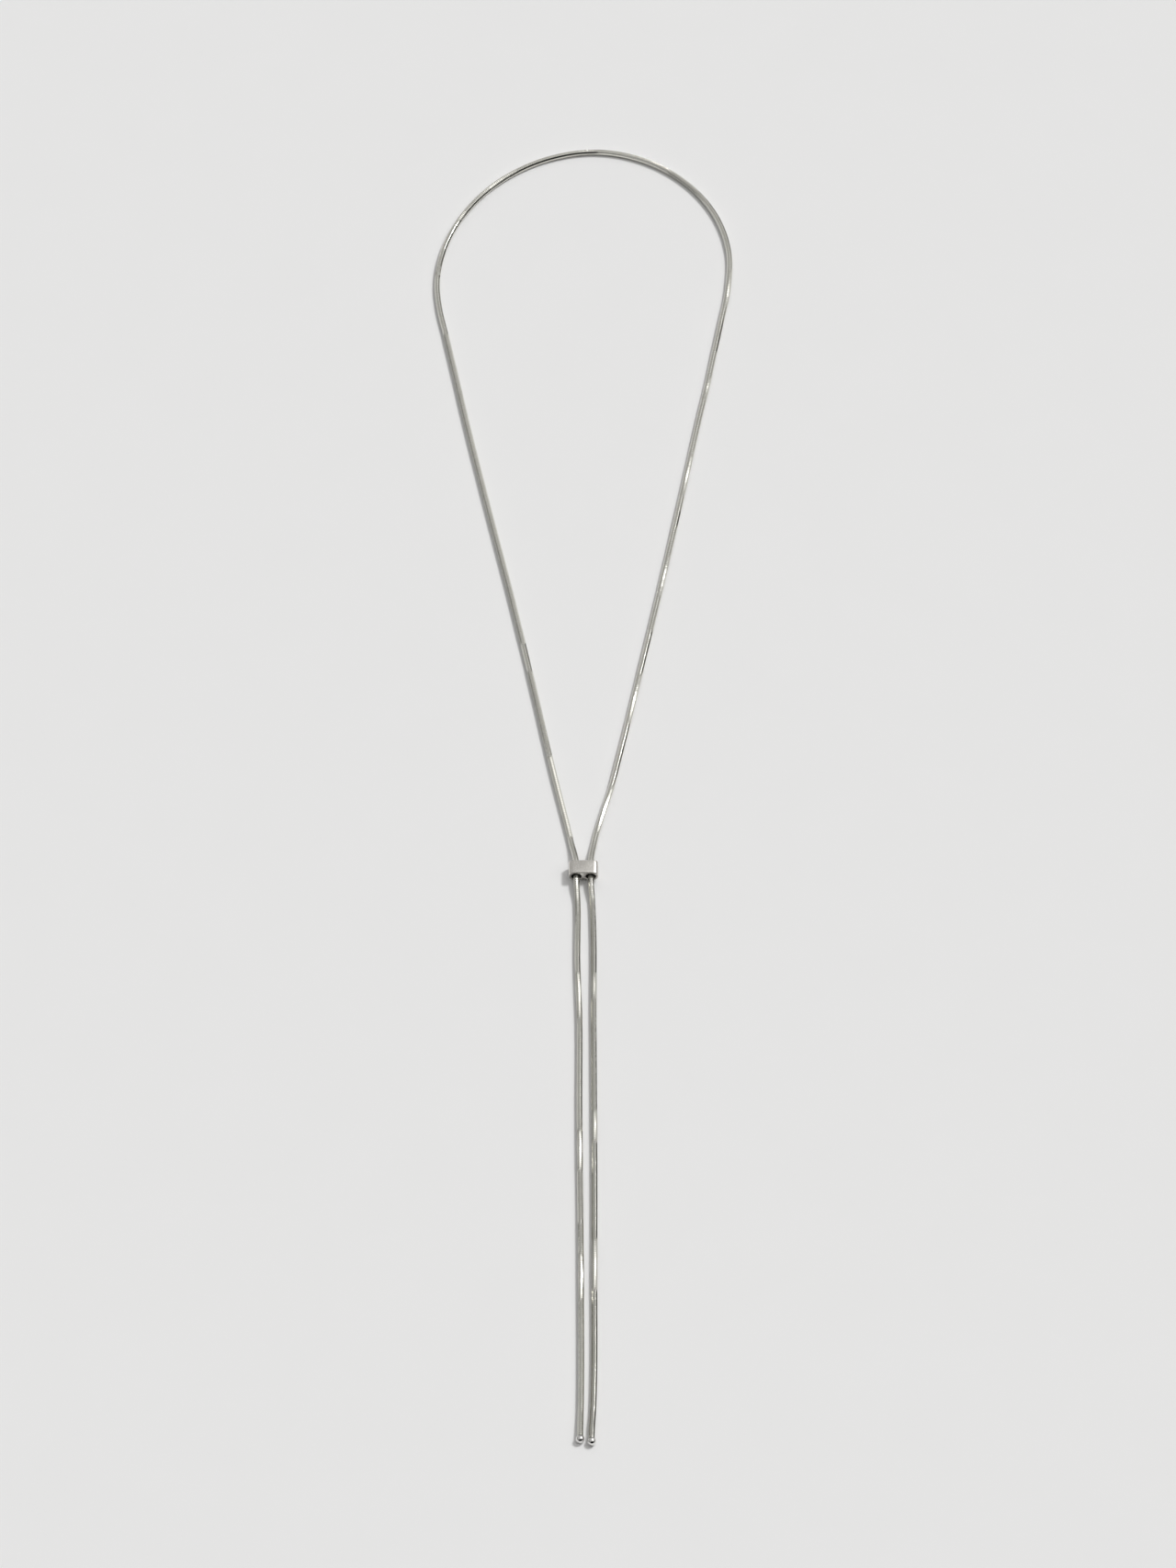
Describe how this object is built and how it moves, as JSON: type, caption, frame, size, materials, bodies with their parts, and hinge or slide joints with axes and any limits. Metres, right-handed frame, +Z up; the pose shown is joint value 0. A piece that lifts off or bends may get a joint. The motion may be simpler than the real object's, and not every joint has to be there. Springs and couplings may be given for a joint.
{
  "type": "bolo necklace",
  "caption": "Bolo necklace laid flat: a faceted snake chain with both ends run through a two-hole slide and finished in round end beads.",
  "frame": {"origin": "middle of the laid-out necklace's footprint, on the surface that it lies on", "axes": "+Z up from the surface, +Y along the necklace from the end beads to the top of the neck loop, +X to the right seen from above with the neck loop at the top"},
  "size_m": [0.1072, 0.5388, 0.005],
  "materials": {
    "chain_metal": "bright silver-tone plate over finely ribbed metal",
    "slide_metal": "polished silver-tone plate",
    "bead_metal": "mirror-polished silver-tone plate"
  },
  "bodies": {
    "root": {"snake_chain": "chain_metal", "slide": "slide_metal", "left_end_bead": "bead_metal", "right_end_bead": "bead_metal"}
  },
  "joints": []
}
